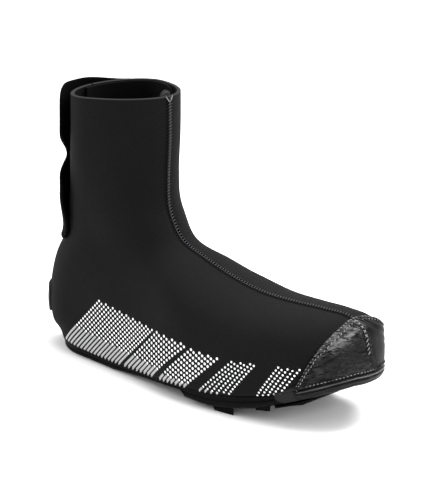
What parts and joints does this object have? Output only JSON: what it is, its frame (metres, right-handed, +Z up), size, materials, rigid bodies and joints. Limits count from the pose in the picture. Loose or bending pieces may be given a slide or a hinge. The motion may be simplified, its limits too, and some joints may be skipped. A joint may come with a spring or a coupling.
{
  "type": "cycling overshoe",
  "caption": "Ankle-high foam rubber overshoe for the right foot, with a closed toe, a rubber sole cut out for a cleat, a coated toe cap and a flap that closes the back of the shaft",
  "frame": {"origin": "middle of the bounding box's footprint, on the floor under the sole", "axes": "+X points from the heel to the toe, +Y to the inner side of the foot, +Z up"},
  "size_m": [0.3136, 0.1056, 0.2144],
  "materials": {
    "upper": "black foam rubber under a fine knit, matte",
    "toe_cap": "black crinkled coating, glossy",
    "front_seam": "black flat seam, satin",
    "outsole": "black moulded rubber, matte",
    "toe_rand": "black moulded rubber, ribbed, satin",
    "closure_flap": "black brushed fabric, very matte",
    "underlap": "black foam rubber, matte",
    "heel_patch": "black rubber strip, satin",
    "seam_tab": "black tape, matte"
  },
  "bodies": {
    "root": {"upper": "upper", "toe_cap": "toe_cap", "front_seam": "front_seam", "outsole": "outsole", "toe_rand": "toe_rand", "closure_flap": "closure_flap", "underlap": "underlap", "heel_patch": "heel_patch", "seam_tab": "seam_tab"}
  },
  "joints": []
}
